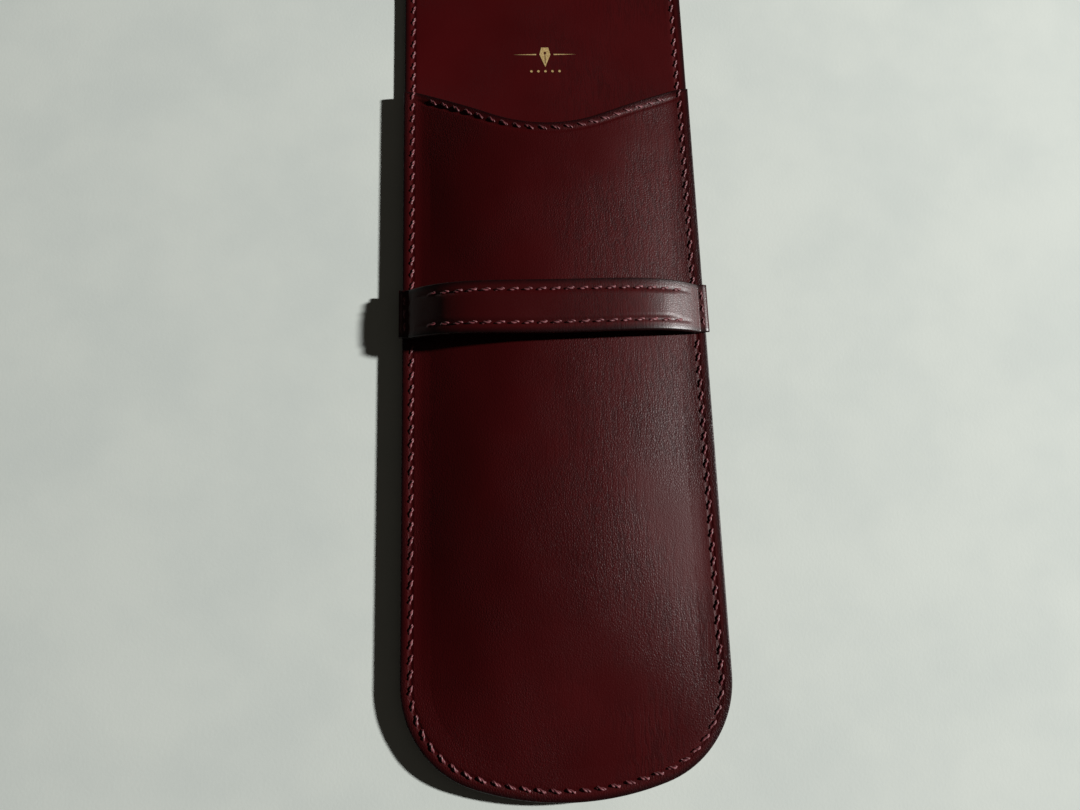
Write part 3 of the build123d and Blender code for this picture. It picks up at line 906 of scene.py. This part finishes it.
# %% Waxed thread
material, flow, shader = new_finish("waxed_thread")
rest = flow.node("ShaderNodeAttribute", {"attribute_name": "rest"}, output="Vector")
tint = flow.node("ShaderNodeAttribute", {"attribute_name": "edge"}, output="Fac")
fibre = (rest * (1.0, 0.4, 1.0)).noise(9.0, 2.0)
thread_colour = (tint * 0.7 + fibre * 0.3).mix((0.1, 0.013, 0.018, 1), (0.17, 0.034, 0.042, 1))
finish_with(
    flow,
    shader,
    {"Sheen Weight": 0.25, "Sheen Roughness": 0.4, "Sheen Tint": (1.0, 0.7, 0.7, 1.0)},
    Base_Color=thread_colour,
    Roughness=fibre * 0.2 + 0.4,
    Normal=bumped(flow, fibre, 0.03),
)
FINISHES["thread"] = material

# %% Gold leaf and fibre board, for solids kept from the frame
material, flow, shader = new_finish("gold_leaf")
place = flow.node("ShaderNodeTexCoord", output="Object") * (1 / MM)
leaf = place.noise(3.0, 3.0)
gold = leaf.between(0.3, 0.7).mix((0.66, 0.42, 0.15, 1), (0.95, 0.72, 0.34, 1))
finish_with(
    flow,
    shader,
    {"Metallic": 0.5},
    Base_Color=gold,
    Roughness=leaf * 0.25 + 0.35,
    Normal=bumped(flow, leaf, 0.02),
)
FINISHES["gilding"] = material

material, flow, shader = new_finish("fibre_board")
place = flow.node("ShaderNodeTexCoord", output="Object") * (1 / MM)
felt = (place * (1.0, 0.3, 1.0)).noise(2.5, 4.0, 0.7)
finish_with(
    flow,
    shader,
    {"Specular IOR Level": 0.2},
    Base_Color=felt.mix((0.19, 0.15, 0.11, 1), (0.36, 0.3, 0.22, 1)),
    Roughness=felt * 0.15 + 0.8,
    Normal=bumped(flow, felt, 0.05),
)
FINISHES["board"] = material

# %% Put each finish on its pieces
def wear(thing, finish):
    thing.data.materials.clear()
    thing.data.materials.append(finish)


for piece in PIECES.values():
    wear(piece, FINISHES[piece["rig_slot"]])
wear(band, rubbed)
for node, finish in (
    ("gilt_stamp", "gilding"),
    ("back_stiffener", "board"),
    ("flap_stiffener", "board"),
    ("strap_filler", "board"),
):
    for slot in frame["nodes"][node].material_slots:
        slot.material = FINISHES[finish]
print("finished pieces", len(PIECES))

# %% [markdown]
# ## Table, light and camera
# The case lies on pale, faintly mottled paper. One soft lamp stands low on the right, so that the dome
# shades away to the left and the grain shows, with a little light from all round to fill the shadows.

# %% The paper
FLOOR_HALF = 1600.0
paper = bpy.data.meshes.new("paper")
turns = ((-1, -1), (1, -1), (1, 1), (-1, 1))
corners = [(x * FLOOR_HALF, y * FLOOR_HALF) for x, y in turns]
paper.from_pydata([Vector((x, y, -0.02)) * MM for x, y in corners], [], [[0, 1, 2, 3]])
floor = bpy.data.objects.new("paper", paper)
bpy.context.scene.collection.objects.link(floor)
floor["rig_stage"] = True
material, flow, shader = new_finish("paper")
place = flow.node("ShaderNodeTexCoord", output="Object") * (1 / MM)
clouds = place.noise(0.03, 4.0, 0.6).between(0.3, 0.7)
tooth = place.noise(1.6, 3.0, 0.6)
finish_with(
    flow,
    shader,
    {"Specular IOR Level": 0.2},
    Base_Color=(clouds * 0.75 + tooth * 0.25).mix((0.7, 0.75, 0.71, 1), (0.78, 0.825, 0.77, 1)),
    Roughness=tooth * 0.1 + 0.75,
    Normal=bumped(flow, tooth, 0.012),
)
wear(floor, material)

# %% Lamp and fill
LAMP_AWAY, LAMP_SIZE, LAMP_WATTS = 2.0, 0.1, 70.0
to_lamp = Vector((2.16, 0.2, 1.0)).normalized()
lamp_data = bpy.data.lights.new("lamp", "AREA")
lamp_data.shape, lamp_data.size, lamp_data.energy = "DISK", LAMP_SIZE, LAMP_WATTS
lamp_data.color = (1.0, 0.995, 0.98)
lamp = bpy.data.objects.new("lamp", lamp_data)
lamp.location = to_lamp * LAMP_AWAY
lamp.rotation_euler = to_lamp.to_track_quat("Z", "Y").to_euler()
bpy.context.scene.collection.objects.link(lamp)
world = bpy.data.worlds.new("room")
world.use_nodes = True
world.node_tree.nodes["Background"].inputs["Color"].default_value = (0.9, 0.8, 0.68, 1)
world.node_tree.nodes["Background"].inputs["Strength"].default_value = 0.024
bpy.context.scene.world = world
bpy.context.scene.view_settings.view_transform = "Standard"

# %% Camera
eye = bpy.data.cameras.new("camera")
eye.lens, eye.sensor_width, eye.clip_start = 27.03, 36.0, 0.01
camera = bpy.data.objects.new("camera", eye)
camera.location = Vector((-9.144, -87.734, 165.502)) * MM
camera.rotation_euler = [math.radians(a) for a in (12.3182, -1.5837, -1.6942)]
bpy.context.scene.collection.objects.link(camera)
bpy.context.scene.camera = camera

# %% Measure and finish
low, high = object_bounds()
print("grown by mm", [round(v / MM, 3) for v in (*(cad_low - low), *(high - cad_high))])
